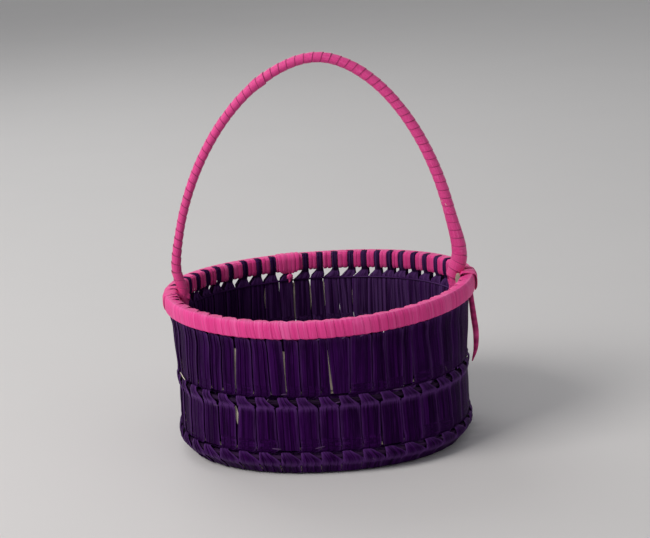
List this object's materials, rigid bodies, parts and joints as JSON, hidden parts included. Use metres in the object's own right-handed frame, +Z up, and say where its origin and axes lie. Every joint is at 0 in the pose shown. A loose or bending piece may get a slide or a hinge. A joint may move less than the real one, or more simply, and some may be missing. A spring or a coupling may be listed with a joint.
{
  "type": "palm leaf basket with a fixed arched handle",
  "caption": "Small oval palm-leaf basket: dyed leaf strips sewn in open long stitches over hoops, a bound rim and a fixed, bound arched handle.",
  "frame": {"origin": "middle of the flat underside, on the surface that the basket stands on", "axes": "+Z up, +X along the long side of the oval towards the handle's right foot with the loose rolled end, -Y the side seen in the picture"},
  "size_m": [0.1976, 0.1624, 0.2444],
  "materials": {
    "leaf_purple": "dyed palm leaf, deep purple, fine grain along the leaf, silky sheen",
    "hoop_purple": "split hoop, purple dye worn thin, pale fibre showing",
    "leaf_pink": "dyed palm leaf, bright pink, fine grain along the leaf, soft sheen",
    "leaf_natural": "undyed palm rib and leaf, dry and matt"
  },
  "bodies": {
    "root": {"upper_strip_01": "leaf_purple", "upper_strip_02": "leaf_purple", "upper_strip_03": "leaf_purple", "upper_strip_04": "leaf_purple", "upper_strip_05": "leaf_purple", "upper_strip_06": "leaf_purple", "upper_strip_07": "leaf_purple", "upper_strip_08": "leaf_purple", "upper_strip_09": "leaf_purple", "upper_strip_10": "leaf_purple", "upper_strip_11": "leaf_purple", "upper_strip_12": "leaf_purple", "upper_strip_13": "leaf_purple", "lower_strip_01": "leaf_purple", "lower_strip_02": "leaf_purple", "lower_strip_03": "leaf_purple", "lower_strip_04": "leaf_purple", "lower_strip_05": "leaf_purple", "lower_strip_06": "leaf_purple", "lower_strip_07": "leaf_purple", "lower_strip_08": "leaf_purple", "lower_strip_09": "leaf_purple", "lower_strip_10": "leaf_purple", "base_strip_01": "leaf_purple", "base_strip_02": "leaf_purple", "base_strip_03": "leaf_purple", "base_strip_04": "leaf_purple", "base_strip_05": "leaf_purple", "base_strip_06": "leaf_purple", "base_strip_07": "leaf_purple", "base_strip_08": "leaf_purple", "base_strip_09": "leaf_purple", "base_strip_10": "leaf_purple", "neck_strand": "leaf_purple", "floor_centre": "leaf_purple", "middle_hoop": "hoop_purple", "base_hoop": "hoop_purple", "rim_binding_01": "leaf_pink", "rim_binding_02": "leaf_pink", "rim_binding_03": "leaf_pink", "rim_binding_04": "leaf_pink", "rim_binding_05": "leaf_pink", "handle_wrap_1": "leaf_pink", "handle_wrap_2": "leaf_pink", "handle_wrap_3": "leaf_pink", "lashing_left": "leaf_pink", "lashing_right": "leaf_pink", "rim_patch": "leaf_pink", "rim_inner_hoop": "leaf_natural", "rim_outer_hoop": "leaf_natural", "upper_fold_rod": "leaf_natural", "lower_fold_rod": "leaf_natural", "foot_hoop": "leaf_natural", "floor_ring": "leaf_natural", "handle_core": "leaf_natural", "packing_splint": "leaf_natural", "wall_stake_1": "leaf_natural", "wall_stake_2": "leaf_natural", "wall_stake_3": "leaf_natural", "wall_stake_4": "leaf_natural"}
  },
  "joints": []
}
